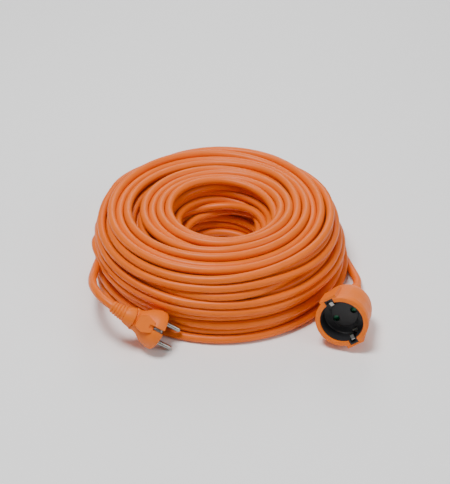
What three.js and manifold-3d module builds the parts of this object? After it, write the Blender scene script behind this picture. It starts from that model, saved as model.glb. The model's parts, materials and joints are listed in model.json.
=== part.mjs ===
// Extension cord: a coiled three-core lead with an earthed plug and a shuttered portable socket.
// Millimetres, +Z up, standing on z = 0. The origin is under the middle of the socket end.
import * as THREE from 'three';
import { mergeVertices } from 'three/addons/utils/BufferGeometryUtils.js';
import Module from 'manifold-3d';

const wasm = await Module();
wasm.setup();

// ---- Driving dimensions ----

const gap = 0.3; // between pieces that touch on the real object
const wall = 1.6; // moulded insulation round the hollows

// Cord: three 1.5 mm2 cores in a round sheath.
const cordDiameter = 8.2;
const coreDiameter = 2.9;
const coreCircle = 1.9; // radius that the three cores lie on inside the sheath

// Coil, as its outer shape.
const coilRadius = 121.5; // front to back; the coil lies slightly oval
const coilOval = 1.05; // its width over its depth
const coilHeight = 78;
const coilHoleRadius = 46;
const coilTopInset = 33.5; // the top rim lies this far inside the widest turn
const coilShoulder = 18; // width of the crown's fall into the hole

// Pins and their spacing.
const pinDiameter = 4.8;
const pinLength = 19;
const pinSpacing = 19;
const pinRoot = 12; // length of each pin inside the plug

// Plug.
const flangeRadius = 18.75;
const flangeDepth = 7;
const plugLength = 27.5; // flange face to the strain relief
const gripWidth = 21.4;
const gripThickness = 17;
const thumbFlat = 9.2; // height of the flat thumb pads above the axis
const bridgeRadius = 13.9;
const bridgeDepth = 7.5;
const earthSlotWidth = 4.2;
const earthSlotLength = 14.5;
const earthSlotFloor = 15.2; // distance of the slot's floor from the axis
const earthStripThickness = 1;
const earthSleeveOffset = 10; // from the axis to the sleeve for a socket's earth pin
const earthSleeveBore = 4.9;

// Strain relief, the same moulding on both ends.
const reliefLength = 22;
const reliefHeadRadius = 10.4;
const reliefHeadLength = 8;
const reliefTailRadius = 5.8;
const reliefRibs = 4;
const reliefRibHeight = 0.9;
const reliefBend = 38; // radius that the plug's strain relief is bent to
const plugLeadArc = 84; // degrees that the plug's lead goes on round that bend

// Portable socket.
const wellRadius = 19.75;
const wellDepth = 17.5;
const collarWall = 5.25; // outside the well
const collarDepth = 6;
const bodyWall = 3.85; // outside the well, behind the collar
const bodyShoulder = 32; // face to where the body starts to narrow
const bodyLength = 54;
const earHeight = 1.6; // from the collar's rim to the flat of each ear
const earWidth = 18;
const earDepth = 21;
const lip = 1.5; // depth of the body's lip in front of the insert
const insertWall = 1.5;
const insertFloor = 2.5;
const holeDiameter = 5.6;
const channelWidth = 8.2; // black housing of each earth contact
const channelDepth = 4.45; // from the well's wall to the back of that housing
const channelWall = 1;

// Shutter behind the socket's pin holes.
const shutterThickness = 2.2;
const shutterLobe = 3.2; // half the width of each lobe
const shutterPivot = 1.8;
const shutterHub = 4.6;
const shutterRamp = 25; // slope of the faces that the pins push, in degrees
const springWire = 0.6;
const springRadius = 3.4;
const springTurns = 1.25;

// Contacts.
const contactLength = 8;
const contactWall = 0.5;
const crimpLength = 4.5;
const crimpWall = 0.45;
const clipWidth = 3.6;
const clipThickness = 0.7;
const clipBow = 3.8; // how far each earth clip stands into the well

// Where the ends lie: each front face's bearing and how far its middle is outside the coil.
const plugBearing = -115.62; // degrees
const plugOutside = 11.5;
const plugNose = new THREE.Vector3(0.835, -0.03, -0.55); // the way the pins point
const plugPinLine = new THREE.Vector3(0.4, 0.63, 0.66);
const plugLeadHeading = new THREE.Vector3(0, 0.9, -0.44); // where its lead turns to
const socketBearing = -47.63; // degrees
const socketOutside = 44.7;
const socketNose = new THREE.Vector3(-0.265, -0.93, 0.25); // out of the well
const socketPinLine = new THREE.Vector3(0.75, -0.082, 0.559);

// Free stretches of the cord, chosen by hand, from each end's own straight or bend to the coil.
const plugLeadRoute = [
  [-122.6, -77.7, 40.9], [-123.8, -69.1, 37.6], [-124.1, -60.6, 33.9], [-123.5, -52.1, 30.2],
  [-122.3, -43.5, 26.7], [-120.7, -34.9, 23.8], [-119, -26, 21.5],
];
const socketLeadRoute = [
  [135.6, -37.2, 8.2], [135.3, -29.6, 6.7], [133.7, -22, 5.6], [131.3, -14.7, 4.9],
  [128.7, -7.4, 4.5], [126.2, 0, 4.4],
];

// ---- Values that follow ----

const cordRadius = cordDiameter / 2;
const pinRadius = pinDiameter / 2;
const pinOffset = pinSpacing / 2;
const insertRadius = wellRadius + insertWall;
const collarRadius = wellRadius + collarWall;
const bodyRadius = wellRadius + bodyWall;
const earOffset = collarRadius + earHeight;
const channelReach = wellRadius + channelDepth;
const floorBack = -wellDepth - insertFloor;
const shutterFront = floorBack - gap;
const shutterBack = shutterFront - shutterThickness;
const springRise = springTurns * (springWire + gap);
const carrierFront = shutterBack - springRise - springWire - 2 * gap;
const carrierBack = carrierFront - 2;
const contactFront = carrierBack - gap;
const contactBack = contactFront - contactLength;
const contactRadius = pinRadius + 0.1 + contactWall;
const legInner = insertRadius - 2.1; // from the axis to the legs of the earth bridge
const socketCordEnd = -bodyLength + 0.8;
const plugPinBack = -pinRoot;
const plugCordEnd = plugPinBack - crimpLength - 8;
const bendStart = plugLength + 2.5;

// The two live cores: name, side of the pin line, and place round the cord in turns.
const liveCores = [['line', 1, -1 / 12], ['neutral', -1, 7 / 12]];
const earthTurn = 1 / 4;

const colours = {
  sheath: { color: 0xf07818, roughness: 0.42, metalness: 0 },
  moulding: { color: 0xf4761c, roughness: 0.5, metalness: 0 },
  insert: { color: 0x2b2a2c, roughness: 0.55, metalness: 0 },
  carrier: { color: 0xd8d5cc, roughness: 0.6, metalness: 0 },
  shutter: { color: 0x1e9a62, roughness: 0.45, metalness: 0 },
  nickel: { color: 0xb9bab8, roughness: 0.28, metalness: 1 },
  brass: { color: 0xc9a656, roughness: 0.3, metalness: 1 },
  spring: { color: 0x9a9c9e, roughness: 0.3, metalness: 1 },
  line: { color: 0x6b3e22, roughness: 0.5, metalness: 0 },
  neutral: { color: 0x2c62b8, roughness: 0.5, metalness: 0 },
  earth: { color: 0x8fae2e, roughness: 0.5, metalness: 0 },
};

// ---- Geometry helpers ----

// A profile of [radius, z] points turned about Z, closed on itself or on the axis.
function turned(profile, segments) {
  const points = profile.map(([radius, z]) => new THREE.Vector2(radius, z));
  return new THREE.LatheGeometry(points, segments).rotateX(Math.PI / 2);
}

function cylinder(radius, back, front, segments = 24) {
  return turned([[0, back], [radius, back], [radius, front], [0, front]], segments);
}

function tubeRing(outer, inner, back, front, segments = 24) {
  const profile = [[inner, back], [outer, back], [outer, front], [inner, front], [inner, back]];
  return turned(profile, segments);
}

function box(low, high) {
  const size = high.map((value, i) => value - low[i]);
  const centre = high.map((value, i) => (value + low[i]) / 2);
  return new THREE.BoxGeometry(...size).translate(...centre);
}

// A flat outline in X and Z drawn as [x, z], given a thickness along Y and centred on y = 0.
function plate(outline, thickness) {
  const shape = new THREE.Shape(outline.map(([x, z]) => new THREE.Vector2(x, z)));
  const solid = new THREE.ExtrudeGeometry(shape, { depth: thickness, bevelEnabled: false });
  return solid.rotateX(Math.PI / 2).translate(0, thickness / 2, 0);
}

function circle(radius, sides) {
  const shape = new THREE.Shape();
  for (let i = 0; i <= sides; i += 1) {
    const angle = (2 * Math.PI * i) / sides;
    const [x, y] = [radius * Math.cos(angle), radius * Math.sin(angle)];
    if (i === 0) shape.moveTo(x, y);
    else shape.lineTo(x, y);
  }
  return shape;
}

function tubeAlong(points, radius, sides, steps) {
  const extrudePath = new THREE.CatmullRomCurve3(points);
  return new THREE.ExtrudeGeometry(circle(radius, sides), { steps, extrudePath });
}

function solidOf(geometry) {
  const bare = geometry.clone();
  bare.deleteAttribute('normal');
  bare.deleteAttribute('uv');
  const merged = mergeVertices(bare, 1e-4);
  const index = merged.index.array;
  const triVerts = [];
  for (let i = 0; i < index.length; i += 3) {
    const [a, b, c] = index.slice(i, i + 3);
    if (a !== b && b !== c && c !== a) triVerts.push(a, b, c);
  }
  return new wasm.Manifold(new wasm.Mesh({
    numProp: 3,
    vertProperties: new Float32Array(merged.attributes.position.array),
    triVerts: new Uint32Array(triVerts),
  }));
}

function geometryOf(solid) {
  const mesh = solid.getMesh();
  const geometry = new THREE.BufferGeometry();
  geometry.setAttribute('position', new THREE.BufferAttribute(mesh.vertProperties, 3));
  geometry.setIndex(new THREE.BufferAttribute(mesh.triVerts, 1));
  return geometry;
}

// One solid from a first shape with shapes joined to it and then shapes cut from it.
function carved(first, { add = [], cut = [] }) {
  let solid = solidOf(first);
  for (const shape of add) solid = solid.add(solidOf(shape));
  for (const shape of cut) solid = solid.subtract(solidOf(shape));
  return geometryOf(solid);
}

function named(name, geometry, colour) {
  const mesh = new THREE.Mesh(geometry, new THREE.MeshStandardMaterial(colours[colour]));
  mesh.name = name;
  return mesh;
}

// The frame of an end: x along its pin line, z out of its front face.
function endFrame(nose, pinLine) {
  const z = nose.clone().normalize();
  const x = pinLine.clone().addScaledVector(z, -pinLine.dot(z)).normalize();
  return new THREE.Matrix4().makeBasis(x, new THREE.Vector3().crossVectors(z, x), z);
}

// ---- Pieces that both ends use ----

// A bore for the cord with a ribbed taper round it. z = 0 is its wide end and it runs to -z.
function reliefGeometry() {
  const bore = cordRadius + gap;
  const tail = reliefLength - reliefHeadLength;
  const neck = (reliefHeadRadius + reliefTailRadius) / 2;
  const profile = [0, 1, 2, 3, 4, 5, 6].map((i) => [bore, (-i * reliefLength) / 6]);
  profile.push([reliefTailRadius - 0.6, -reliefLength]);
  const pitch = tail / (reliefRibs + 0.5);
  for (let i = 0; i < reliefRibs; i += 1) {
    const z = -reliefLength + pitch * (i + 0.5);
    const radius = reliefTailRadius + (0.8 * i) / reliefRibs;
    profile.push([radius, z - pitch * 0.25], [radius, z + pitch * 0.25]);
    profile.push([radius - reliefRibHeight, z + pitch * 0.35]);
    profile.push([radius - reliefRibHeight, z + pitch * 0.65]);
  }
  profile.push([neck, -reliefHeadLength], [reliefHeadRadius - 0.5, -reliefHeadLength + 3.5]);
  profile.push([reliefHeadRadius, -1], [reliefHeadRadius - 0.8, 0], [bore, 0]);
  return turned(profile, 20);
}

// The cord's middle at a distance behind the end's face, bent from bendStart on.
function onBend(distance, toward) {
  const angle = Math.max(0, distance - bendStart) / reliefBend;
  const point = new THREE.Vector3(0, 0, -Math.min(distance, bendStart));
  point.addScaledVector(new THREE.Vector3(0, 0, -1), reliefBend * Math.sin(angle));
  return point.addScaledVector(toward, reliefBend * (1 - Math.cos(angle)));
}

// Bends a shape that lies along -z with the cord, so that it stays round it.
function bent(geometry, toward) {
  const position = geometry.attributes.position;
  const side = new THREE.Vector3(0, 0, -1).cross(toward);
  const turn = new THREE.Quaternion();
  for (let i = 0; i < position.count; i += 1) {
    const point = new THREE.Vector3().fromBufferAttribute(position, i);
    const distance = -point.z;
    turn.setFromAxisAngle(side, Math.max(0, distance - bendStart) / reliefBend);
    point.z = 0;
    point.applyQuaternion(turn).add(onBend(distance, toward));
    position.setXYZ(i, point.x, point.y, point.z);
  }
  return geometry;
}

function crimpGeometry(front) {
  const bore = coreDiameter / 2 + 1.5 * gap;
  return tubeRing(bore + crimpWall, bore, front - crimpLength, front, 16);
}

// Each core from the sheath's cut end into its crimp, in the end's own frame.
function coreGeometry(from, to, radius = coreDiameter / 2) {
  const inCrimp = crimpLength / 2 + 1.6;
  return tubeAlong([
    new THREE.Vector3(...from),
    new THREE.Vector3(from[0], from[1], from[2] + 1.2),
    new THREE.Vector3(to[0], to[1], to[2] - inCrimp),
    new THREE.Vector3(...to),
  ], radius, 8, 9);
}

function coreStart(turn, cutEnd) {
  const angle = 2 * Math.PI * turn;
  return [coreCircle * Math.cos(angle), coreCircle * Math.sin(angle), cutEnd + gap];
}

// ---- Plug ----

function plugBodyGeometry() {
  const grip = gripWidth / 2;
  const widths = [
    [0, 0], [flangeRadius - 0.8, 0], [flangeRadius, -0.8], [flangeRadius, -flangeDepth + 2.5],
    [flangeRadius - 0.7, -flangeDepth], [flangeRadius - 2.6, -flangeDepth - 5],
    [grip + 3.2, -flangeDepth - 9], [grip + 0.6, -flangeDepth - 13], [grip - 0.4, -plugLength + 2.6],
    [grip, -plugLength + 0.6], [grip - 0.5, -plugLength], [0, -plugLength],
  ];
  const outside = turned(widths.reverse(), 36);
  const position = outside.attributes.position;
  for (let i = 0; i < position.count; i += 1) {
    const behind = THREE.MathUtils.smoothstep(-position.getZ(i), flangeDepth + 0.5, flangeDepth + 11);
    position.setY(i, position.getY(i) * (1 - behind * (1 - gripThickness / gripWidth)));
  }
  const slot = [-earthSlotLength, 1];
  const half = earthSlotWidth / 2;
  const far = flangeRadius + 1;
  const flats = [-1, 1].map((side) => {
    const [low, high] = side < 0 ? [-far, -thumbFlat] : [thumbFlat, far];
    return box([-far, low, -plugLength + 2.4], [far, high, -flangeDepth - 4]);
  });
  const slots = [
    box([-half, earthSlotFloor, slot[0]], [half, far, slot[1]]),
    box([-half, -far, slot[0]], [half, -earthSlotFloor, slot[1]]),
  ];
  const strapHalf = half + gap;
  const strapSpan = earthSlotFloor + earthStripThickness + 2 * gap;
  const strap = box([-strapHalf, -strapSpan, -bridgeDepth - 2.4], [strapHalf, strapSpan, -bridgeDepth]);
  const pocket = turned([
    [0, -bridgeDepth - gap], [bridgeRadius + gap, -bridgeDepth - gap], [bridgeRadius + gap, 1], [0, 1],
  ], 32);
  const chamber = turned([
    [0, plugCordEnd - 1], [cordRadius + gap, plugCordEnd - 1], [cordRadius + gap + 0.8, plugCordEnd + 1],
    [pinOffset - 2.6, plugCordEnd + 5], [pinOffset - 2.6, -bridgeDepth], [0, -bridgeDepth],
  ], 20);
  const bore = cylinder(cordRadius + gap, -plugLength - 1, plugCordEnd, 20);
  const pinWells = [-1, 1].map((side) => (
    cylinder(pinRadius + 0.8, plugPinBack - crimpLength - 1.4, -bridgeDepth, 16)
      .translate(side * pinOffset, 0, 0)
  ));
  const coreWays = liveCores.map(([, side, turn]) => coreGeometry(
    coreStart(turn, plugCordEnd),
    [side * pinOffset, 0, plugPinBack - crimpLength / 2],
    coreDiameter / 2 + 3 * gap,
  ));
  const hollows = [pocket, chamber, bore, ...pinWells, ...coreWays];
  return carved(outside, { cut: [...flats, ...slots, strap, ...hollows] });
}

function plugBridgeGeometry() {
  const body = cylinder(bridgeRadius, -bridgeDepth, 0, 32);
  const holes = [-1, 1].map((side) => (
    cylinder(pinRadius + gap, -bridgeDepth - 1, 1, 20).translate(side * pinOffset, 0, 0)
  ));
  const sleeveHole = cylinder(earthSleeveBore / 2 + 0.6 + gap, -bridgeDepth - 1, 1, 20);
  sleeveHole.translate(0, -earthSleeveOffset, 0);
  return carved(body, { cut: [...holes, sleeveHole] });
}

function pinGeometry() {
  const tip = [];
  for (let i = 1; i <= 4; i += 1) {
    const angle = (Math.PI / 2) * (1 - i / 4);
    const z = pinLength - pinRadius + pinRadius * Math.cos(angle);
    tip.unshift([pinRadius * Math.sin(angle), z]);
  }
  const profile = [[0, -pinRoot], [pinRadius - 0.3, -pinRoot], [pinRadius, -pinRoot + 0.4]];
  profile.push([pinRadius, pinLength - pinRadius], ...tip.reverse());
  return turned(profile, 20);
}

// One U-shaped strip: a bar behind the bridge with an arm along each side slot.
function plugEarthStrapGeometry() {
  const inner = earthSlotFloor + gap;
  const outer = inner + earthStripThickness;
  const back = -bridgeDepth - 2;
  const front = -bridgeDepth - gap;
  const half = (earthSlotWidth - 2 * gap) / 2;
  const bar = box([-half, -outer, back], [half, outer, front]);
  const arms = [-1, 1].map((side) => {
    const [low, high] = side < 0 ? [-outer, -inner] : [inner, outer];
    return box([-half, low, back], [half, high, -0.6]);
  });
  const lips = [-1, 1].map((side) => {
    const [low, high] = side < 0 ? [-outer - 0.9, -inner] : [inner, outer + 0.9];
    return box([-half, low, -3.4], [half, high, -1.2]);
  });
  return carved(bar, { add: [...arms, ...lips] });
}

function makePlug() {
  const group = new THREE.Group();
  const frame = endFrame(plugNose, plugPinLine);
  const toward = plugLeadHeading.clone().applyMatrix4(frame.clone().transpose());
  toward.z = 0;
  toward.normalize();

  group.add(named('plug_body', plugBodyGeometry(), 'moulding'));
  group.add(named('plug_bridge', plugBridgeGeometry(), 'insert'));
  const relief = reliefGeometry().translate(0, 0, -plugLength - gap);
  group.add(named('plug_strain_relief', bent(relief, toward), 'moulding'));
  group.add(named('plug_earth_strap', plugEarthStrapGeometry(), 'nickel'));

  const sleeve = tubeRing(earthSleeveBore / 2 + 0.6, earthSleeveBore / 2, -bridgeDepth + 0.5, -0.4, 16);
  group.add(named('plug_earth_sleeve', sleeve.translate(0, -earthSleeveOffset, 0), 'nickel'));

  const crimpFront = plugPinBack - gap;
  for (const [which, side, turn] of liveCores) {
    const pin = named(`plug_pin_${which}`, pinGeometry(), 'nickel');
    pin.position.x = side * pinOffset;
    const crimp = named(`plug_crimp_${which}`, crimpGeometry(crimpFront), 'brass');
    crimp.position.x = side * pinOffset;
    const core = coreGeometry(
      coreStart(turn, plugCordEnd),
      [side * pinOffset, 0, crimpFront - crimpLength / 2],
    );
    group.add(pin, crimp, named(`plug_core_${which}`, core, which));
  }
  const earthCrimpFront = -bridgeDepth - 2 - gap;
  group.add(named('plug_crimp_earth', crimpGeometry(earthCrimpFront), 'brass'));
  const earthCore = coreGeometry(
    coreStart(earthTurn, plugCordEnd),
    [0, 0, earthCrimpFront - crimpLength / 2],
  );
  group.add(named('plug_core_earth', earthCore, 'earth'));

  frame.decompose(group.position, group.quaternion, group.scale);
  group.userData.leadStart = [new THREE.Vector3(0, 0, plugCordEnd)];
  for (let angle = 0; angle <= plugLeadArc; angle += 6) {
    const distance = bendStart + THREE.MathUtils.degToRad(angle) * reliefBend;
    group.userData.leadStart.push(onBend(distance, toward));
  }
  return group;
}

// ---- Portable socket ----

function socketBodyGeometry() {
  const rear = cordRadius + gap + 2.6;
  const outside = turned([
    [0, -bodyLength], [rear + 1.6, -bodyLength], [rear + 3.4, -bodyLength + 1],
    [bodyRadius - 8.4, -bodyLength + 7.5], [bodyRadius - 3.2, -bodyLength + 13.5],
    [bodyRadius - 0.6, -bodyShoulder], [bodyRadius, -bodyShoulder + 4], [bodyRadius + 0.6, -collarDepth - 1],
    [collarRadius, -collarDepth], [collarRadius, -1.2], [collarRadius - 1.2, 0], [0, 0],
  ], 40);
  const ears = [-1, 1].map((side) => {
    const [low, high] = side < 0 ? [-earOffset, -earOffset + 8] : [earOffset - 8, earOffset];
    return box([-earWidth / 2, low, -earDepth], [earWidth / 2, high, -0.6]);
  });
  const cavity = turned([
    [0, -bodyLength + 2], [cordRadius + gap + 2.8, -bodyLength + 2],
    [bodyRadius - 10.6, -bodyLength + 7.5], [bodyRadius - 7, -bodyLength + 12],
    [bodyRadius - 7, -bodyShoulder - 1.2], [insertRadius + gap, -bodyShoulder - 1.2],
    [insertRadius + gap, -lip], [0, -lip],
  ], 40);
  const mouth = cylinder(wellRadius + 0.5, -lip - 1, 1, 40);
  const bore = cylinder(cordRadius + gap, -bodyLength - 1, -bodyLength + 5, 24);
  const half = channelWidth / 2 + gap;
  const channels = [-1, 1].map((side) => {
    const [low, high] = side < 0 ? [-channelReach - gap, -15] : [15, channelReach + gap];
    return box([-half, low, floorBack - gap], [half, high, 1]);
  });
  return carved(outside, { add: ears, cut: [cavity, mouth, bore, ...channels] });
}

function insertGeometry() {
  const cup = turned([
    [0, floorBack], [insertRadius, floorBack], [insertRadius, -lip - gap],
    [wellRadius, -lip - gap], [wellRadius, -wellDepth], [0, -wellDepth],
  ], 40);
  const half = channelWidth / 2;
  const inner = half - channelWall;
  const housings = [];
  const slots = [];
  for (const side of [-1, 1]) {
    const ordered = (a, b) => (side < 0 ? [-b, -a] : [a, b]);
    const [low, high] = ordered(wellRadius + 0.4, channelReach);
    housings.push(box([-half, low, floorBack], [half, high, -0.6]));
    const [slotLow, slotHigh] = ordered(wellRadius - 3.2, channelReach - channelWall);
    slots.push(box([-inner, slotLow, floorBack - 1], [inner, slotHigh, 1]));
  }
  const holes = [-1, 1].map((side) => (
    cylinder(holeDiameter / 2, floorBack - 1, -wellDepth + 1, 20).translate(side * pinOffset, 0, 0)
  ));
  return carved(cup, { add: housings, cut: [...slots, ...holes] });
}

// A bar with two lobes that turns about the middle. Each lobe has a slope that a pin pushes aside.
function shutterGeometry() {
  const outline = new THREE.Shape();
  outline.absarc(pinOffset, 0, shutterLobe, -Math.PI / 2, Math.PI / 2, false);
  outline.lineTo(0, shutterHub);
  outline.absarc(-pinOffset, 0, shutterLobe, Math.PI / 2, (3 * Math.PI) / 2, false);
  outline.lineTo(0, -shutterHub);
  const options = { depth: shutterThickness, bevelEnabled: false, curveSegments: 10 };
  const bar = new THREE.ExtrudeGeometry(outline, options).translate(0, 0, shutterBack);
  const slope = THREE.MathUtils.degToRad(shutterRamp);
  const ramps = [-1, 1].map((side) => (
    box([-shutterLobe - 1, 0, 0], [shutterLobe + 1, 2 * shutterLobe, 4])
      .rotateX(-side * slope)
      .translate(side * pinOffset, side < 0 ? -2 * shutterLobe : 0, 0)
      .translate(0, side < 0 ? 2 * shutterLobe * (1 - Math.cos(slope)) : 0, 0)
      .translate(0, 0, shutterFront - (side < 0 ? 2 * shutterLobe * Math.sin(slope) : 0))
  ));
  const bore = cylinder(shutterPivot + gap, shutterBack - 1, shutterFront + 1, 20);
  return carved(bar, { cut: [...ramps, bore] });
}

function springGeometry() {
  const points = [new THREE.Vector3(springRadius, -shutterHub - 2.4, 0)];
  const steps = 16 * springTurns;
  for (let i = 0; i <= steps; i += 1) {
    const angle = (2 * Math.PI * i) / 16;
    const rise = (springRise * i) / steps;
    points.push(new THREE.Vector3(springRadius * Math.cos(angle), springRadius * Math.sin(angle), rise));
  }
  const z = carrierFront + springWire / 2 + gap;
  return tubeAlong(points, springWire / 2, 6, 36).translate(0, 0, z);
}

// Closes the shutter's chamber, carries its pivot, and has a well behind each pin hole for a contact.
function carrierGeometry() {
  const outer = insertRadius - 1.6;
  const disc = turned([
    [0, carrierBack], [outer, carrierBack], [outer, shutterFront], [outer - wall, shutterFront],
    [outer - wall, carrierFront], [shutterPivot, carrierFront], [shutterPivot, shutterBack + 0.6],
    [0, shutterBack + 0.6],
  ], 36);
  const reach = contactRadius + gap + wall;
  const towers = [-1, 1].map((side) => (
    box([-reach, -reach, contactBack], [reach, reach, carrierBack + 0.5]).translate(side * pinOffset, 0, 0)
  ));
  const wells = [-1, 1].map((side) => (
    cylinder(contactRadius + gap, contactBack - 1, contactFront + gap, 20)
      .translate(side * pinOffset, 0, 0)
  ));
  const holes = [-1, 1].map((side) => (
    cylinder(holeDiameter / 2, carrierBack - 1, carrierFront + 1, 20).translate(side * pinOffset, 0, 0)
  ));
  const legs = [-1, 1].map((side) => {
    const half = clipWidth / 2 + gap;
    const [low, high] = side < 0 ? [-insertRadius, -legInner + gap] : [legInner - gap, insertRadius];
    return box([-half, low, carrierBack - 1], [half, high, shutterFront + 1]);
  });
  return carved(disc, { add: towers, cut: [...wells, ...holes, ...legs] });
}

// A sprung sleeve for one pin, slit down both sides.
function contactGeometry() {
  const outer = contactRadius;
  const sleeve = turned([
    [outer - contactWall, contactFront - contactLength + 1.2], [outer - contactWall, contactFront - 0.8],
    [outer - 0.1, contactFront], [outer, contactFront], [outer, contactBack],
    [0, contactBack], [0, contactBack + 1.2], [outer - contactWall, contactBack + 1.2],
  ].reverse(), 20);
  const slit = box([-outer - 1, -0.45, contactBack + 2], [outer + 1, 0.45, contactFront + 1]);
  return carved(sleeve, { cut: [slit] });
}

// A bar behind the carrier with a leg up to each earth clip.
function earthBridgeGeometry() {
  const half = clipWidth / 2;
  const inner = legInner;
  const outer = inner + earthStripThickness;
  const front = carrierBack - gap;
  const back = front - earthStripThickness;
  const bar = box([-half, -outer, back], [half, outer, front]);
  const legs = [-1, 1].map((side) => {
    const [low, high] = side < 0 ? [-outer, -inner] : [inner, outer];
    return box([-half, low, back], [half, high, floorBack - gap]);
  });
  return carved(bar, { add: legs });
}

// A bowed leaf in its channel. It is drawn for the +y side, rooted at the well's floor.
function clipGeometry() {
  const seat = legInner + 1.4;
  const root = floorBack + 0.2;
  const front = -2.6;
  const bow = wellRadius - clipBow;
  const path = [
    [seat, root], [seat, root + 4.5], [bow + 0.5, (root + front) / 2 + 1], [bow, front - 3.6],
    [bow + 0.7, front - 1.6], [seat - 0.4, front],
  ];
  const outline = [...path, ...path.map(([y, z]) => [y + clipThickness, z]).reverse()];
  return plate(outline, clipWidth).rotateZ(Math.PI / 2);
}

function makeSocket() {
  const group = new THREE.Group();
  group.add(named('socket_body', socketBodyGeometry(), 'moulding'));
  const relief = reliefGeometry().translate(0, 0, -bodyLength - gap);
  group.add(named('socket_strain_relief', relief, 'moulding'));
  group.add(named('socket_insert', insertGeometry(), 'insert'));
  group.add(named('socket_shutter', shutterGeometry(), 'shutter'));
  group.add(named('socket_shutter_spring', springGeometry(), 'spring'));
  group.add(named('socket_contact_carrier', carrierGeometry(), 'carrier'));
  group.add(named('socket_earth_bridge', earthBridgeGeometry(), 'nickel'));
  group.add(named('socket_earth_clip_upper', clipGeometry(), 'nickel'));
  group.add(named('socket_earth_clip_lower', clipGeometry().rotateZ(Math.PI), 'nickel'));

  const crimpFront = contactBack - gap;
  for (const [which, side, turn] of liveCores) {
    const contact = named(`socket_contact_${which}`, contactGeometry(), 'brass');
    const crimp = named(`socket_crimp_${which}`, crimpGeometry(crimpFront), 'brass');
    contact.position.x = side * pinOffset;
    crimp.position.x = side * pinOffset;
    const core = coreGeometry(
      coreStart(turn, socketCordEnd),
      [side * pinOffset, 0, crimpFront - crimpLength / 2],
    );
    group.add(contact, crimp, named(`socket_core_${which}`, core, which));
  }
  const earthCrimpFront = carrierBack - 2 * gap - earthStripThickness;
  group.add(named('socket_crimp_earth', crimpGeometry(earthCrimpFront), 'brass'));
  const earthCore = coreGeometry(
    coreStart(earthTurn, socketCordEnd),
    [0, 0, earthCrimpFront - crimpLength / 2],
  );
  group.add(named('socket_core_earth', earthCore, 'earth'));

  endFrame(socketNose, socketPinLine).decompose(group.position, group.quaternion, group.scale);
  const boot = -bodyLength - reliefLength;
  group.userData.leadStart = [socketCordEnd, boot / 2 - bodyLength / 2, boot - 2, boot - 8].map((z) => (
    new THREE.Vector3(0, 0, z)
  ));
  return group;
}

// ---- Cord ----

// The coil's turns give way where the plug leans on them and where the leads join them.
function coilGeometry() {
  const top = coilRadius - coilTopInset;
  const hole = coilHoleRadius;
  const ring = turned([
    [hole + 10, 0], [coilRadius - 4, 0], [coilRadius - 0.5, 5], [coilRadius, 16],
    [coilRadius - 2.5, coilHeight - 45], [coilRadius - 6.5, coilHeight - 30],
    [coilRadius - 11.5, coilHeight - 18], [coilRadius - 17.5, coilHeight - 8],
    [coilRadius - 25, coilHeight - 2], [top, coilHeight], [hole + coilShoulder, coilHeight],
    [hole + 9, coilHeight - 4], [hole + 3, coilHeight - 12], [hole, coilHeight - 28],
    [hole + 1, 25], [hole + 4, 8], [hole + 10, 0],
  ], 40).scale(coilOval, 1, 1);
  const room = 2 * gap;
  const flange = cylinder(flangeRadius + room, -flangeDepth - 8, room, 24);
  const pins = cylinder(pinOffset + pinRadius + room, 0, pinLength + room, 24);
  const plugRoom = [flange, pins].map((shape) => shape.applyMatrix4(plug.matrixWorld));
  const leads = [plugLead, socketLead].map((lead) => leadGeometry(...lead, room));
  return carved(ring, { cut: [...plugRoom, ...leads] });
}

function leadGeometry(end, route, steps, room = 0) {
  const inside = end.userData.leadStart.map((point) => point.clone().applyMatrix4(end.matrixWorld));
  const free = route.map((point) => new THREE.Vector3(...point));
  const last = free.at(-1);
  const beyond = last.clone().sub(free.at(-2)).setLength(room);
  last.add(beyond);
  return tubeAlong([...inside, ...free], cordRadius + room, 12, steps);
}

// ---- Assembly ----

// Sets an end down beside the coil, with its lowest point on the ground.
function stand(end, bearing, outside) {
  const angle = THREE.MathUtils.degToRad(bearing);
  const reach = coilRadius + outside;
  end.position.set(reach * Math.cos(angle), reach * Math.sin(angle), 0);
  end.updateMatrixWorld(true);
  end.position.z = -new THREE.Box3().setFromObject(end, true).min.z;
  end.updateMatrixWorld(true);
}

const plug = makePlug();
const socket = makeSocket();
stand(plug, plugBearing, plugOutside);
stand(socket, socketBearing, socketOutside);

const model = new THREE.Group();
model.add(plug, socket);
const plugLead = [plug, plugLeadRoute, 28];
const socketLead = [socket, socketLeadRoute, 20];
model.add(named('cord_coil', coilGeometry(), 'sheath'));
model.add(named('plug_lead', leadGeometry(...plugLead), 'sheath'));
model.add(named('socket_lead', leadGeometry(...socketLead), 'sheath'));

const socketBox = new THREE.Box3().setFromObject(socket, true);
const middle = socketBox.getCenter(new THREE.Vector3());
model.position.set(-middle.x, -middle.y, -socketBox.min.z);

export default model;
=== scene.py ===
"""Extension cord: a coiled orange cord with an earthed plug and a portable socket on its ends."""

import json
import math

import bpy
import bmesh
import numpy as np
from mathutils import Matrix, Vector, kdtree


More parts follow.
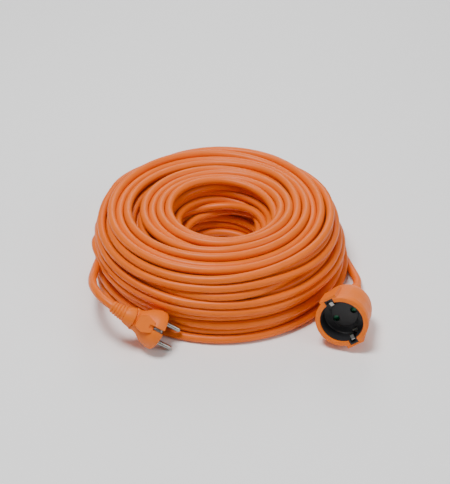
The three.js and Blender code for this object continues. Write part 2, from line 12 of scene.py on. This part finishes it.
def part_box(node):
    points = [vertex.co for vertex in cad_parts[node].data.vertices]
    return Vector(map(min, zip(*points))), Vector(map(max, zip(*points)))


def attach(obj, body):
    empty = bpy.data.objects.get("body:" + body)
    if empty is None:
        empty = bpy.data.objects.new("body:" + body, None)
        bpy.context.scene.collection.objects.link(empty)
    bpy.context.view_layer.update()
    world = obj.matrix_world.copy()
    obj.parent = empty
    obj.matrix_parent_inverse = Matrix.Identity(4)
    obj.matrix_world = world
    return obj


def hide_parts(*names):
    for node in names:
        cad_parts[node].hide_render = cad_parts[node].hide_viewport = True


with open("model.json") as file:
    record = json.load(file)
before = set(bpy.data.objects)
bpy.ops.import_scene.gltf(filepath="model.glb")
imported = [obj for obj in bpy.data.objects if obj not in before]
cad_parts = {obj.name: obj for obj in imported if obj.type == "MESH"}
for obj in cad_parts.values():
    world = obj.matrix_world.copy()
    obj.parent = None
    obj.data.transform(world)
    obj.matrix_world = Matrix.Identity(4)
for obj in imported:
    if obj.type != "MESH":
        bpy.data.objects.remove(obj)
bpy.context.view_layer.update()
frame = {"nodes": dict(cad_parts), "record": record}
mounts = {mount["name"]: mount for mount in frame["record"]["mounts"]}
PIN_OFFSET = 9.5  # of a pin or its hole from its end's axis, in millimetres
WELL_DEPTH = 17.5


def middle(node):
    low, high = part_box(node)
    return (Vector(low) + Vector(high)) / 2


def end_matrix(mount, depth, plus, minus):
    """From an end's own millimetres (x along its pin line, z out of its front) to the row frame."""
    z = Vector(mounts[mount]["axis"]).normalized()
    origin = Vector(mounts[mount]["pos_m"]) + z * depth / 1000
    x = middle(plus) - middle(minus)
    x = (x - z * x.dot(z)).normalized()
    basis = Matrix((x, z.cross(x), z)).transposed().to_4x4()
    return Matrix.Translation(origin) @ basis @ Matrix.Scale(0.001, 4)


PLUG = end_matrix("plug_face", 0, "plug_pin_line", "plug_pin_neutral")
SOCKET = end_matrix("socket_floor", WELL_DEPTH, "socket_contact_line", "socket_contact_neutral")
low, high = (Vector(corner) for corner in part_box("cord_coil"))
COIL = Matrix.Translation(((low.x + high.x) / 2, (low.y + high.y) / 2, 0)) @ Matrix.Scale(0.001, 4)

# ---- Camera ----

camera = bpy.data.objects.new("camera", bpy.data.cameras.new("camera"))
bpy.context.scene.collection.objects.link(camera)
bpy.context.scene.camera = camera
camera.data.lens = 94.9
camera.data.clip_start = 0.05
elevation = math.radians(38)
distance = 1.276
aim = COIL @ Vector((4.5, 0, 29))
camera.location = aim + distance * Vector((0, -math.cos(elevation), math.sin(elevation)))
camera.rotation_euler = (math.pi / 2 - elevation, 0, 0)

# ---- Cord: its turns are laid in winding order and then settled against each other ----

CORD = 8.2  # the settling works in millimetres from the coil's middle
OVAL = 1.05
STATIONS = 96  # points along each turn
ROUNDS = 420  # of settling
PULL, LATE_PULL = 0.03, 0.004  # share of the way back to its place that a point goes in a round
SINK = 0.02  # how far its weight takes it in a round
PUSH = 0.42  # share of an overlap that each of two turns gives way by in a round
FARTHEST = 1.5  # that other turns push a point in a round
TOP = 80  # the height that the settled turns are pushed back under
# heights, and the widest radius there
OUTER = ([0, 5, 16, 33, 48, 60, 70, 76, 80], [119, 121.5, 121.5, 120, 117, 113.5, 110, 104, 98])
# heights, and how far the turns' middle is off the coil's there, in x and in y
LEAN = ([0, 78], [1.5, -4], [-1, 4])
SOCKET_LEAD = [
    (135.6, -37.2, 8.2), (135.3, -29.6, 6.7), (133.7, -22, 5.6), (131.3, -14.7, 4.9),
    (128.7, -7.4, 4.5), (126.2, 0, 4.4),
]
PLUG_LEAD = [
    (-122.6, -77.7, 40.9), (-123.8, -69.1, 37.6), (-124.1, -60.6, 33.9), (-123.5, -52.1, 30.2),
    (-122.3, -43.5, 26.7), (-120.7, -34.9, 23.8), (-119, -26, 21.5),
]


def lean(z):
    """How far the leaning pile has moved over at this height, in x and in y."""
    heights, over_x, over_y = LEAN
    return np.interp(z, heights, over_x), np.interp(z, heights, over_y)


def winding(rng):
    """One row per turn, in the order they are wound: radius, height, then how far it is shifted
    sideways and which way, then how much it is tilted and which way."""
    turns = [(116.9, 4.1, 0, 0, 0, 0), (117, 12.2, 0, 0, 0, 0)]

    def layer(radii, z, swing, tilt):
        for radius in radii:
            shift = rng.uniform(0, swing), rng.uniform(0, 2 * math.pi)
            turns.append((radius, z, *shift, rng.uniform(0, tilt), rng.uniform(0, 2 * math.pi)))

    layer(np.linspace(108, 40, 8), 4.1, 1, 0)
    layer(np.linspace(41, 107, 8), 12.2, 2, 1)
    layer(np.linspace(106, 45, 7), 20.4, 3, 2)
    layer(np.linspace(46, 106, 7), 28.6, 3, 3)
    layer(np.linspace(106, 47, 7), 36.8, 4, 3)
    layer(np.linspace(48, 106, 7), 45.0, 4, 3)
    layer(np.linspace(104, 49, 6), 53.0, 4, 3)
    turns.append((38.5, 37, 13, math.radians(55), 3, 0))
    turns.append((39, 49, 13, math.radians(75), 4, math.pi))
    for radius in np.linspace(50, 106, 6):
        turns.append((radius, 61 + rng.uniform(-2, 2), 8, math.radians(-35), 3, math.radians(200)))
    for i in range(8):
        turns.append((113 + 0.5 * i, 62 - 7 * i, 2, math.radians(90 * i), 6, math.radians(130 * i)))
    for i in range(8):
        shift = (6, math.radians(-20)) if i < 4 else (6, math.radians(160))
        height = 71 + rng.uniform(-1.5, 1.5)
        turns.append((48.5 + 7.6 * i, height, *shift, 4, math.radians(170 + 60 * (i % 3))))
    return np.array(turns)


def settle(capsules):
    """The centreline of the coiled stretch, as points along it."""
    rng = np.random.default_rng(7)
    turns = winding(rng)
    first = math.atan2(SOCKET_LEAD[-1][1], SOCKET_LEAD[-1][0] / OVAL)
    last = math.atan2(PLUG_LEAD[-1][1], PLUG_LEAD[-1][0] / OVAL)
    step = 2 * math.pi / STATIONS
    count = len(turns)
    total = (count - 1) * STATIONS + round(((last - first) % (2 * math.pi)) / step) + 1
    angle = first + step * np.arange(total)
    # each turn slides over to the next one's place during a part of it
    place = np.arange(total) / STATIONS
    turn = np.minimum(place.astype(int), count - 1)
    part = np.clip((place - turn - 0.35) / 0.65, 0, 1)
    part = part * part * (3 - 2 * part)
    following = np.minimum(turn + 1, count - 1)

    def mixed(values):
        return values[turn] * (1 - part) + values[following] * part

    swing_x = mixed(turns[:, 2] * np.cos(turns[:, 3]))
    swing_y = mixed(turns[:, 2] * np.sin(turns[:, 3]))
    home_z = mixed(turns[:, 1])
    tilt = mixed(turns[:, 4] * np.cos(turns[:, 5])) * np.cos(angle)
    tilt += mixed(turns[:, 4] * np.sin(turns[:, 5])) * np.sin(angle)
    lean_x, lean_y = lean(home_z)
    home_r = mixed(turns[:, 0]) + (swing_x + lean_x) * np.cos(angle) + (swing_y + lean_y) * np.sin(angle)
    waves = sum(
        rng.uniform(0.3, 1.0) * np.sin(2 * math.pi * place * f + rng.uniform(0, 6.28))
        for f in (0.37, 0.83, 1.31, 1.9, 2.7)
    )
    home_z = home_z + waves + tilt
    home_r = home_r + 1.2 * np.roll(waves, 41)

    pad = -total % STATIONS
    rows = (total + pad) // STATIONS
    live = np.r_[np.ones(total, bool), np.zeros(pad, bool)].reshape(rows, STATIONS)
    theta = np.r_[angle, angle[-1] + step * np.arange(1, pad + 1)].reshape(rows, STATIONS)
    r = np.r_[home_r, np.full(pad, 500.0)].reshape(rows, STATIONS)
    z = np.r_[home_z, np.full(pad, 500.0)].reshape(rows, STATIONS)
    z[~live] += 50 * np.arange(pad)
    home_r, home_z = r.copy(), z.copy()
    stretch = np.sqrt((OVAL * np.cos(theta[0])) ** 2 + np.sin(theta[0]) ** 2)
    unit_x, unit_y = OVAL * np.cos(theta), np.sin(theta)
    ends = []
    for place_of_end, (x, y, height) in ((0, SOCKET_LEAD[-1]), (total - 1, PLUG_LEAD[-1])):
        ends.append((*divmod(place_of_end, STATIONS), math.hypot(x / OVAL, y), height))

    def smoothed(values, weight):
        flat = values.reshape(-1)[:total]
        flat[1:-1] += weight * (flat[:-2] + flat[2:] - 2 * flat[1:-1]) / 2

    for k in range(ROUNDS):
        pull = PULL if k < 0.7 * ROUNDS else LATE_PULL
        r += pull * (home_r - r) * live
        z += (pull * (home_z - z) - SINK) * live
        for _ in range(3):
            smoothed(r, 0.5)
            smoothed(z, 0.5)
        dr = (r[:, None, :] - r[None, :, :]) * stretch
        dz = z[:, None, :] - z[None, :, :]
        gap = np.sqrt(dr * dr + dz * dz) + 1e-6
        near = np.where((gap < CORD) & (gap > 1e-5), (CORD - gap) / gap * PUSH, 0)
        r += np.clip((near * dr).sum(1), -FARTHEST, FARTHEST) / stretch
        z += np.clip((near * dz).sum(1), -FARTHEST, FARTHEST)
        for start, end, radius in capsules:
            x, y = r * unit_x, r * unit_y
            p = np.stack([x, y, z], -1)
            along = np.clip(((p - start) @ (end - start)) / ((end - start) @ (end - start)), 0, 1)
            away = p - (start + along[..., None] * (end - start))
            far = np.linalg.norm(away, axis=-1)
            inside = (far < radius + CORD / 2) & live
            push = np.where(inside, (radius + CORD / 2 - far) / np.maximum(far, 1e-6), 0)
            r += push * (away[..., 0] * np.cos(theta) + away[..., 1] * np.sin(theta)) * 0.8
            z += push * away[..., 2] * 0.8
        z[live] = np.maximum(z[live], CORD / 2)
        lean_x, lean_y = lean(z)
        limit = np.interp(z + 2, *OUTER) - CORD / 2 + (lean_x * np.cos(theta) + lean_y * np.sin(theta))
        over = (r > limit) & live
        r[over] += 0.5 * (limit[over] - r[over])
        top = (z > TOP - CORD / 2) & live
        z[top] -= 0.3 * (z[top] - TOP + CORD / 2)
        for row, station, radius, height in ends:
            r[row, station], z[row, station] = radius, height
    return np.stack([r * unit_x, r * unit_y, z], -1).reshape(-1, 3)[:total]


def in_coil(matrix, x, y, z):
    """A point of an end, in the coil's millimetres."""
    return np.array(COIL.inverted() @ matrix @ Vector((x, y, z)))


def capsule(matrix, start, end, radius):
    return (in_coil(matrix, *start), in_coil(matrix, *end), radius)


RELIEF_END = -76.0  # where the cord leaves the socket's strain relief, along the socket's axis
BEND_START, BEND = 30.0, 38.0  # where the plug's cord starts to bend, and to what radius
STEP = 5.9  # between the points of the finished line

keep_clear = [
    capsule(PLUG, (0, 0, -3), (0, 0, -4.5), 19.2),
    capsule(PLUG, (0, 0, -10), (0, 0, -22), 14.5),
    capsule(PLUG, (0, 0, -20), (0, 0, -46), 11),
    capsule(PLUG, (PIN_OFFSET, 0, 0), (PIN_OFFSET, 0, 17), 2.6),
    capsule(PLUG, (-PIN_OFFSET, 0, 0), (-PIN_OFFSET, 0, 17), 2.6),
    capsule(SOCKET, (0, 0, -4), (0, 0, -38), 25.4),
]
nose = np.array(mounts["plug_face"]["axis"])
heading = np.array([0, 0.9, -0.44])
heading = heading - nose * (heading @ nose)
heading /= np.linalg.norm(heading)
bend = []
for angle in np.radians(np.arange(12, 85, 6)):
    spot = in_coil(PLUG, 0, 0, -BEND_START) - nose * BEND * math.sin(angle)
    bend.append(spot + heading * BEND * (1 - math.cos(angle)))
straight = [in_coil(SOCKET, 0, 0, z) for z in (RELIEF_END + 12, RELIEF_END + 6, RELIEF_END, RELIEF_END - 8)]
line = np.concatenate([straight, SOCKET_LEAD[:-1], settle(keep_clear), PLUG_LEAD[-2::-1], bend[::-1]])


def eased(points, start, end, rounds):
    """Evens out the kinks of a stretch where two parts of the line meet, the most in its middle."""
    inner = points[start + 1:end - 1]
    reach = np.minimum(np.arange(len(inner)), np.arange(len(inner))[::-1]) + 1
    weight = 0.5 * np.minimum(1, reach / 9)[:, None] ** 2
    for _ in range(rounds):
        inner += weight * ((points[start:end - 2] + points[start + 2:end]) / 2 - inner)


def loosened(points, rounds, held=6):
    """Pushes touching turns apart until they no longer lie in each other; both ends stay."""
    reach = np.minimum(np.arange(len(points)), np.arange(len(points))[::-1])
    free = np.minimum(1, reach / held / 2)[:, None]
    free[free < 0.5] = 0
    for _ in range(rounds):
        tree = kdtree.KDTree(len(points))
        for k, point in enumerate(points):
            tree.insert(point, k)
        tree.balance()
        pairs = []
        for k, point in enumerate(points):
            pairs += [(k, j) for _, j, _ in tree.find_range(point, CORD) if j > k + 3]
        first, second = np.array(pairs).T
        away = points[first] - points[second]
        gap = np.linalg.norm(away, axis=1)[:, None]
        push = 0.3 * (CORD - gap) / gap * away
        shift = np.zeros_like(points)
        np.add.at(shift, first, push)
        np.add.at(shift, second, -push)
        shift[1:-1] += 0.12 * ((points[2:] + points[:-2]) / 2 - points[1:-1])
        points += shift * free
        points[:, 2] = np.maximum(points[:, 2], CORD / 2)


def resampled(points, step):
    gone = np.r_[0, np.cumsum(np.linalg.norm(np.diff(points, axis=0), axis=1))]
    even = np.linspace(0, gone[-1], round(gone[-1] / step) + 1)
    return np.stack([np.interp(even, gone, points[:, k]) for k in range(3)], -1)


line = resampled(line, STEP)
eased(line, 2, 30, 12)
eased(line, len(line) - 44, len(line) - 2, 20)
loosened(line, 14)
line = line / 1000 + np.array(COIL.translation)


def tube(points, radius, sides):
    """Rings along the points that turn as little as they can, with closed ends."""
    ahead = np.gradient(points, axis=0)
    ahead /= np.linalg.norm(ahead, axis=1)[:, None]
    side = np.cross(ahead[0], [0, 0, 1.0])
    turn = np.linspace(0, 2 * math.pi, sides, endpoint=False)
    rings = []
    for point, tangent in zip(points, ahead):
        side = side - tangent * (side @ tangent)
        side /= np.linalg.norm(side)
        up = np.cross(side, tangent)
        rings.append(point + radius * (np.cos(turn)[:, None] * side + np.sin(turn)[:, None] * up))
    vertices = np.concatenate(rings)
    count = len(points)
    faces = []
    for i in range(count - 1):
        for j in range(sides):
            k = (j + 1) % sides
            faces.append((i * sides + j, i * sides + k, (i + 1) * sides + k, (i + 1) * sides + j))
    faces.append(tuple(range(sides - 1, -1, -1)))
    faces.append(tuple(range((count - 1) * sides, count * sides)))
    return vertices, faces


def piece(name, vertices, faces, material, smooth=40):
    mesh = bpy.data.meshes.new(name)
    mesh.from_pydata([tuple(v) for v in vertices], [], faces)
    mesh.update()
    mesh.shade_smooth()
    mesh.set_sharp_from_angle(angle=math.radians(smooth))
    mesh.materials.append(material)
    made = bpy.data.objects.new(name, mesh)
    bpy.context.scene.collection.objects.link(made)
    return made


# ---- Materials ----


def surface(name, colour, roughness, metallic=0.0, mottle=0.06, grain=900.0, depth=0.05, gloss=0.5):
    """A procedural surface: patchy colour, uneven gloss and a fine grain. Scales are per metre."""
    made = bpy.data.materials.new(name)
    made.use_nodes = True
    nodes, links = made.node_tree.nodes, made.node_tree.links
    shader = nodes["Principled BSDF"]
    shader.inputs["Metallic"].default_value = metallic
    shader.inputs["Specular IOR Level"].default_value = gloss
    spot = nodes.new("ShaderNodeTexCoord").outputs["Object"]

    def noise(scale, detail):
        node = nodes.new("ShaderNodeTexNoise")
        node.inputs["Scale"].default_value = scale
        node.inputs["Detail"].default_value = detail
        links.new(spot, node.inputs["Vector"])
        return node.outputs["Fac"]

    patches = nodes.new("ShaderNodeMixRGB")
    dark = [c * (1 - 2 * mottle) for c in colour]
    light = [min(1, c * (1 + mottle) + 0.2 * mottle * c) for c in colour]
    patches.inputs["Color1"].default_value = (*dark, 1)
    patches.inputs["Color2"].default_value = (*light, 1)
    links.new(noise(60, 4), patches.inputs["Fac"])
    links.new(patches.outputs["Color"], shader.inputs["Base Color"])

    polish = nodes.new("ShaderNodeMapRange")
    polish.inputs["To Min"].default_value = roughness * 0.82
    polish.inputs["To Max"].default_value = roughness * 1.2
    links.new(noise(160, 3), polish.inputs["Value"])
    links.new(polish.outputs["Result"], shader.inputs["Roughness"])

    bump = nodes.new("ShaderNodeBump")
    bump.inputs["Strength"].default_value = depth
    bump.inputs["Distance"].default_value = 0.0004
    links.new(noise(grain, 3), bump.inputs["Height"])
    links.new(bump.outputs["Normal"], shader.inputs["Normal"])
    return made


ORANGE = (0.78, 0.14, 0.0)
MATERIALS = {
    "sheath": surface("sheath", ORANGE, 0.42, mottle=0.05, grain=700, depth=0.12, gloss=0.3),
    "moulding": surface("moulding", (0.80, 0.155, 0.0), 0.48, mottle=0.05, grain=1500, depth=0.2, gloss=0.3),
    "insert": surface("insert", (0.018, 0.018, 0.02), 0.42, mottle=0.2, grain=1400, depth=0.2),
    "carrier": surface("carrier", (0.62, 0.59, 0.52), 0.5, grain=1200, depth=0.1),
    "shutter": surface("shutter", (0.012, 0.26, 0.11), 0.32, grain=1200, depth=0.08),
    "nickel": surface("nickel", (0.38, 0.37, 0.35), 0.26, metallic=1.0, mottle=0.12, grain=2500, depth=0.12),
    "brass": surface("brass", (0.66, 0.45, 0.16), 0.28, metallic=1.0, mottle=0.12, grain=2500, depth=0.1),
    "spring_steel": surface("spring_steel", (0.45, 0.45, 0.46), 0.25, metallic=1.0, mottle=0.1, grain=2500),
    "core_brown": surface("core_brown", (0.10, 0.035, 0.012), 0.4),
    "core_blue": surface("core_blue", (0.02, 0.10, 0.50), 0.4),
    "core_green_yellow": surface("core_green_yellow", (0.30, 0.42, 0.03), 0.4),
}
slots = {part["node"]: part["material_slot"] for part in frame["record"]["subparts"]}
for name, node in frame["nodes"].items():
    node.data.materials.clear()
    node.data.materials.append(MATERIALS[slots[name]])

cord = piece("cord", *tube(line, CORD / 2000, 13), MATERIALS["sheath"], smooth=80)
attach(cord, "cord_set")
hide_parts("cord_coil", "plug_lead", "socket_lead")

# ---- Detailed pieces of both ends, made in an end's own millimetres ----

CORD_BORE = 4.35
BOOT_LENGTH = 22
HALF_TURN = Matrix.Rotation(math.pi, 3, "Z")  # puts a piece on the end's other side


def lathe(profile, sides=72):
    """A closed solid turned about Z from (radius, height) points, listed from its back to its front."""
    made = bmesh.new()
    rings = []
    for radius, height in profile:
        if radius < 1e-6:
            rings.append([made.verts.new((0, 0, height))])
            continue
        angles = (2 * math.pi * i / sides for i in range(sides))
        rings.append([made.verts.new((radius * math.cos(a), radius * math.sin(a), height)) for a in angles])
    loops = list(zip(rings, rings[1:]))
    if len(rings[0]) > 1 and len(rings[-1]) > 1:
        loops.append((rings[-1], rings[0]))
    for a, b in loops:
        for i in range(sides):
            j = (i + 1) % sides
            if len(a) == 1:
                made.faces.new((a[0], b[j], b[i]))
            elif len(b) == 1:
                made.faces.new((a[i], a[j], b[0]))
            else:
                made.faces.new((a[i], a[j], b[j], b[i]))
    bmesh.ops.recalc_face_normals(made, faces=made.faces)
    return made


def block(low, high):
    made = bmesh.new()
    bmesh.ops.create_cube(made, size=1)
    for vertex in made.verts:
        for k in range(3):
            vertex.co[k] = low[k] if vertex.co[k] < 0 else high[k]
    return made


def both_sides(width, near, far, back, front):
    """A block on each side of an end's axis, where its earth contacts are."""
    return [
        block((-width, near, back), (width, far, front)),
        block((-width, -far, back), (width, -near, front)),
    ]


def moved(shape, x=0, y=0, z=0):
    bmesh.ops.translate(shape, verts=shape.verts, vec=(x, y, z))
    return shape


def carved(shape, add=(), cut=(), bevel=0.0, finish=None):
    """The mesh left when shapes are joined to one and cut from it, with its edges rounded."""
    parts = []
    for part in (shape, *add, *cut):
        mesh = bpy.data.meshes.new("part")
        part.to_mesh(mesh)
        part.free()
        parts.append(bpy.data.objects.new("part", mesh))
        bpy.context.scene.collection.objects.link(parts[-1])
    for i, part in enumerate(parts[1:]):
        step = parts[0].modifiers.new("step", "BOOLEAN")
        step.operation = "UNION" if i < len(add) else "DIFFERENCE"
        step.solver = "EXACT"
        step.object = part
    if bevel:
        rounding = parts[0].modifiers.new("rounding", "BEVEL")
        rounding.width = bevel
        rounding.segments = 3
        rounding.limit_method = "ANGLE"
        rounding.angle_limit = math.radians(32)
        rounding.use_clamp_overlap = True
    view = bpy.context.evaluated_depsgraph_get()
    mesh = bpy.data.meshes.new_from_object(parts[0].evaluated_get(view))
    for part in parts:
        bpy.data.objects.remove(part)
    return mesh


def fitted(name, mesh, matrix, slot, body, *stands_for, smooth=32):
    """Puts a mesh made in an end's millimetres in its place, in place of CAD nodes."""
    mesh.transform(matrix)
    mesh.name = name
    mesh.shade_smooth()
    mesh.set_sharp_from_angle(angle=math.radians(smooth))
    mesh.materials.clear()
    mesh.materials.append(MATERIALS[slot])
    made = bpy.data.objects.new(name, mesh)
    bpy.context.scene.collection.objects.link(made)
    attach(made, body)
    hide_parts(*stands_for)
    return made


def relief_profile(ribs=5):
    """A boot round the cord with rounded ribs that widen to a plain cone; its wide end is at z = 0."""
    bore = [(CORD_BORE, -BOOT_LENGTH * i / 12) for i in range(13)]
    points = [*bore, (5.1, -BOOT_LENGTH)]
    pitch = 13.2 / ribs
    for i in range(ribs):
        z = -21.6 + pitch * (i + 0.4)
        radius = 5.9 + 0.36 * i
        steps = [(-0.4, -0.55), (-0.3, -0.15), (-0.12, 0), (0.12, 0), (0.3, -0.15), (0.4, -0.55)]
        points += [(radius + rise, z + share * pitch) for share, rise in steps]
    return points + [(7.4, -8.0), (8.0, -7.2), (9.0, -4), (9.75, -1.2), (9.7, -0.5), (9.3, -0.1)]


def bend_along(mesh, toward):
    """Bends a shape that lies along -z with the plug's cord."""
    side = Vector((0, 0, -1)).cross(toward)
    for vertex in mesh.vertices:
        distance = -vertex.co.z
        angle = max(0, distance - BEND_START) / BEND
        spine = Vector((0, 0, -min(distance, BEND_START))) + Vector((0, 0, -BEND * math.sin(angle)))
        spine += toward * BEND * (1 - math.cos(angle))
        vertex.co = Matrix.Rotation(angle, 3, side) @ Vector((vertex.co.x, vertex.co.y, 0)) + spine


# Plug
GRIP = [
    (0, -27.5), (10.0, -27.5), (10.5, -27.1), (10.7, -26.6), (10.3, -24.9), (10.5, -22.5), (11.3, -20),
    (12.6, -17.8), (14.2, -15.8), (15.6, -13.8), (16.6, -11.6), (17.6, -9.2), (18.1, -7.2), (18.6, -5.6),
    (18.75, -4.4), (18.75, -0.8), (18.4, -0.2), (17.9, 0), (0, 0),
]
shell = lathe(GRIP, 96)
for vertex in shell.verts:
    behind = min(1, max(0, (-vertex.co.z - 7.5) / 10.5))
    vertex.co.y *= 1 - behind * behind * (3 - 2 * behind) * (1 - 17 / 21.4)
pads = []
for side in (0, 1):
    pad = bmesh.new()
    outline = [(-5.6, -25.6), (5.6, -25.6), (8.2, -18.5), (5.2, -11), (-5.2, -11), (-8.2, -18.5)]
    under = [pad.verts.new((x, 4, z)) for x, z in outline]
    over = [pad.verts.new((x, 16.4 + 0.4 * (z + 11), z)) for x, z in outline]
    pad.faces.new(under)
    pad.faces.new(over[::-1])
    for i in range(6):
        pad.faces.new((under[i], over[i], over[(i + 1) % 6], under[(i + 1) % 6]))
    if side:
        bmesh.ops.rotate(pad, verts=pad.verts, cent=(0, 0, 0), matrix=HALF_TURN)
    bmesh.ops.recalc_face_normals(pad, faces=pad.faces)
    pads.append(pad)
slots_cut = both_sides(1.8, 14.1, 22, -14.5, 1)
inside = lathe([(0, -26), (4.4, -26), (6.9, -19), (6.9, -8), (14.2, -7.8), (14.2, 1), (0, 1)], 64)
passage = lathe([(0, -29), (4.4, -29), (4.4, -25), (0, -25)], 48)
WELL = [(0, -18), (3.2, -18), (3.2, -7), (0, -7)]
wells = [moved(lathe(WELL, 32), x=PIN_OFFSET * side) for side in (-1, 1)]
strap_room = block((-2.4, -16.8, -9.9), (2.4, 16.8, -7.5))
fitted(
    "plug_shell", carved(shell, add=pads, cut=[*slots_cut, inside, passage, *wells, strap_room], bevel=0.3),
    PLUG, "moulding", "cord_set", "plug_body",
)
toward = (PLUG.inverted().to_3x3() @ Vector(heading)).normalized()
boot = carved(moved(lathe(relief_profile(), 48), z=-27.8))
bend_along(boot, toward)
fitted("plug_boot", boot, PLUG, "moulding", "cord_set", "plug_strain_relief", smooth=50)

strap = block((-1.6, -14.9, -9.7), (1.6, 14.9, -8.9))
arms = both_sides(1.6, 14.2, 14.9, -9.7, -1.2)
noses = []
for side in (0, 1):
    contact = block((-1.5, 14.3, -5.4), (1.5, 16.7, -1.4))
    for vertex in contact.verts:
        if vertex.co.y > 15:
            vertex.co.z = -2.2 if vertex.co.z > -3 else -3.4
    if side:
        bmesh.ops.rotate(contact, verts=contact.verts, cent=(0, 0, 0), matrix=HALF_TURN)
    noses.append(contact)
bar_way = lathe([(0, -11), (2.2, -11), (2.2, -7), (0, -7)], 24)
fitted(
    "plug_earth_spring", carved(strap, add=[*arms, *noses], cut=[bar_way], bevel=0.15),
    PLUG, "nickel", "cord_set", "plug_earth_strap",
)

PIN = [
    (0, -12), (2.1, -12), (2.4, -11.6), (2.4, 0.2), (2.25, 0.5), (2.25, 0.9), (2.4, 1.2), (2.4, 16.2),
    (2.34, 17.0), (2.12, 17.8), (1.7, 18.45), (1.1, 18.85), (0.5, 18.98), (0, 19),
]
for name, side in (("line", 1), ("neutral", -1)):
    pin = carved(moved(lathe(PIN, 40), x=PIN_OFFSET * side))
    fitted(f"plug_pin_{name}_turned", pin, PLUG, "nickel", "cord_set", f"plug_pin_{name}", smooth=30)

FRONT = [
    (0, -7.5), (13.9, -7.5), (13.9, -0.5), (13.5, 0), (12.4, 0), (12.1, -0.35), (11.6, -0.35),
    (11.3, 0), (0, 0),
]
holes = [moved(lathe([(0, -9), (2.7, -9), (2.7, 2), (0, 2)], 32), x=PIN_OFFSET * side) for side in (-1, 1)]
earth_hole = moved(lathe([(0, -9), (3.35, -9), (3.35, 2), (0, 2)], 32), y=-10)
fitted(
    "plug_front", carved(lathe(FRONT, 72), cut=[*holes, earth_hole], bevel=0.12),
    PLUG, "insert", "cord_set", "plug_bridge",
)

# Portable socket
SHELL = [
    (0, -54), (8.6, -54), (10.0, -53.6), (11.6, -52.4), (15.4, -46.4), (18.2, -43.2), (20.4, -40.4),
    (22.2, -36.4), (23.1, -32.4), (23.6, -28), (23.8, -20), (24.0, -8), (24.3, -6.8), (25, -6), (25, -1.2),
    (24.8, -0.6), (24.3, -0.1), (23.8, 0), (0, 0),
]
HOLLOW = [
    (0, -52), (7.2, -52), (13, -46.5), (16.6, -42), (16.6, -33.2), (21.55, -33.2), (21.55, -1.5), (0, -1.5),
]
ears = []
for side in (-1, 1):
    ear = block((-8.6, 18.6, -24), (8.6, 26.4, -0.6))
    for vertex in ear.verts:
        if vertex.co.z < -10 and vertex.co.y > 20:
            vertex.co.y -= 1.6
    if side < 0:
        bmesh.ops.rotate(ear, verts=ear.verts, cent=(0, 0, 0), matrix=HALF_TURN)
    ears.append(ear)
hollow = lathe(HOLLOW, 72)
mouth = lathe([(0, -3), (20.25, -3), (20.25, -0.9), (20.9, 1), (0, 1)], 96)
cord_way = lathe([(0, -56), (4.4, -56), (4.4, -50), (0, -50)], 48)
channels = both_sides(4.4, 15, 24.5, -20.3, 1)
fitted(
    "socket_shell", carved(lathe(SHELL, 96), add=ears, cut=[hollow, mouth, cord_way, *channels], bevel=0.35),
    SOCKET, "moulding", "cord_set", "socket_body",
)
boot = carved(moved(lathe(relief_profile(), 48), z=-54.3))
fitted("socket_boot", boot, SOCKET, "moulding", "cord_set", "socket_strain_relief", smooth=50)

CUP = [
    (0, -20), (21.25, -20), (21.25, -1.9), (21.1, -1.8), (19.85, -1.8), (19.75, -2.0), (19.6, -16.9),
    (19.2, -17.3), (18.6, -17.5), (13.2, -17.5), (12.9, -17.2), (12.4, -17.2), (12.1, -17.5), (0, -17.5),
]
housings = both_sides(4.1, 20.1, 24.2, -20, -0.6)
cuts = both_sides(3.1, 16.55, 23.2, -21, 1)
for side in (-1, 1):
    hole = lathe([(0, -22), (2.8, -22), (2.8, -17.95), (3.3, -17.3), (3.3, -16), (0, -16)], 36)
    cuts.append(moved(hole, x=PIN_OFFSET * side))
fitted(
    "socket_cup", carved(lathe(CUP, 96), add=housings, cut=cuts, bevel=0.15),
    SOCKET, "insert", "cord_set", "socket_insert",
)

# ---- Floor and light ----

floor = piece(
    "floor",
    [(-6, -6, 0), (6, -6, 0), (6, 6, 0), (-6, 6, 0)],
    [(0, 1, 2, 3)],
    surface("pale_floor", (0.95, 0.95, 0.95), 0.6, mottle=0.005, depth=0.0),
)


def lamp(name, place, size, watts, colour=(1, 1, 1)):
    light = bpy.data.lights.new(name, "AREA")
    light.shape = "DISK"
    light.size = size
    light.energy = watts
    light.color = colour
    made = bpy.data.objects.new(name, light)
    bpy.context.scene.collection.objects.link(made)
    made.location = aim + Vector(place)
    made.rotation_euler = (aim - made.location).to_track_quat("-Z", "Y").to_euler()


lamp("key", (-0.35, -0.15, 1.6), 0.55, 28)
lamp("fill", (1.3, -0.7, 0.9), 1.2, 8)
lamp("rim", (0.1, 1.5, 1.0), 1.0, 10)

world = bpy.data.worlds.new("studio")
world.use_nodes = True
world.node_tree.nodes["Background"].inputs["Color"].default_value = (1, 1, 1, 1)
world.node_tree.nodes["Background"].inputs["Strength"].default_value = 0.29
bpy.context.scene.world = world
